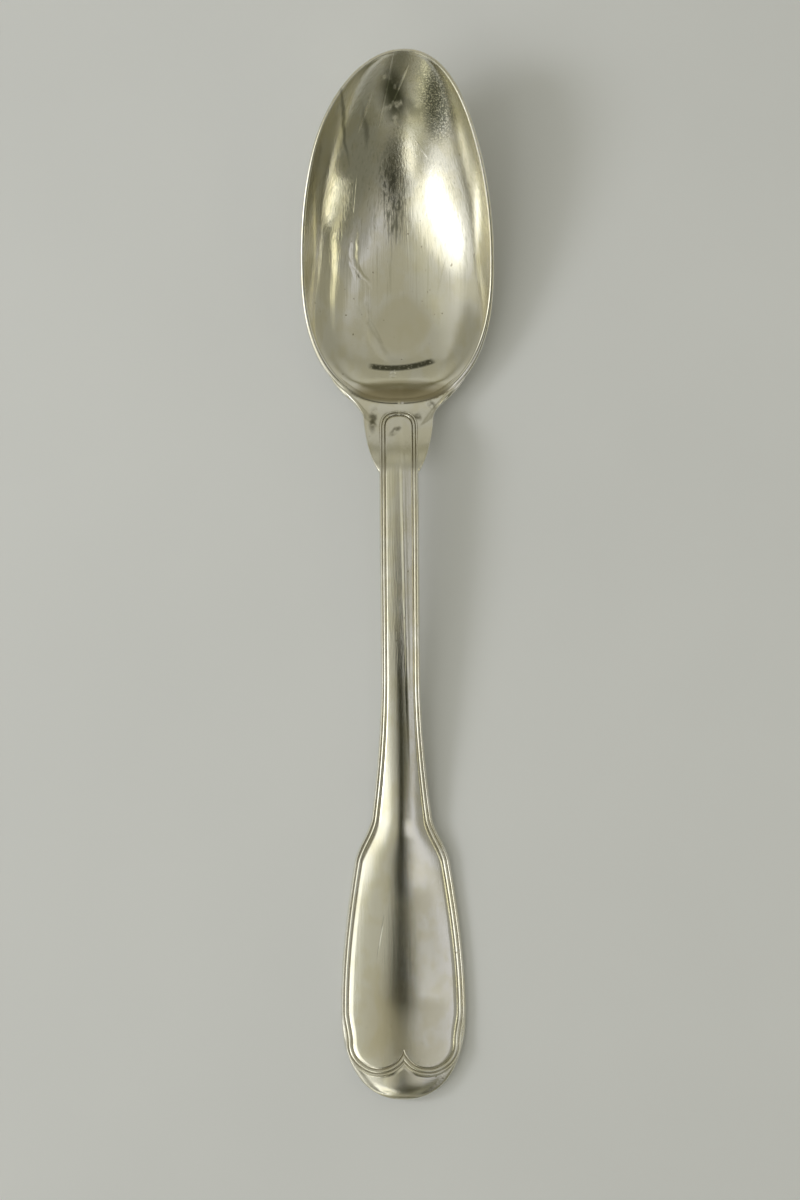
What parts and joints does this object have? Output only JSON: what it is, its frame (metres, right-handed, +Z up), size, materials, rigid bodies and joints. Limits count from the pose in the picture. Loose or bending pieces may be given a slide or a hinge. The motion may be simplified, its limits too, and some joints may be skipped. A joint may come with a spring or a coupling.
{
  "type": "table spoon",
  "caption": "Silver table spoon with an elongated oval bowl, pointed shoulders, a slim stem and a fiddle-shaped end edged with fine double threads.",
  "frame": {"origin": "on the table under the middle of the spoon's overall box", "axes": "+Y along the spoon from the handle's end to the bowl's tip, +X across it, +Z up out of the open bowl"},
  "size_m": [0.038, 0.2048, 0.0194],
  "materials": {
    "silver": "old polished silver, fine scratches and faint warm tarnish"
  },
  "bodies": {
    "root": {"spoon": "silver"}
  },
  "joints": []
}
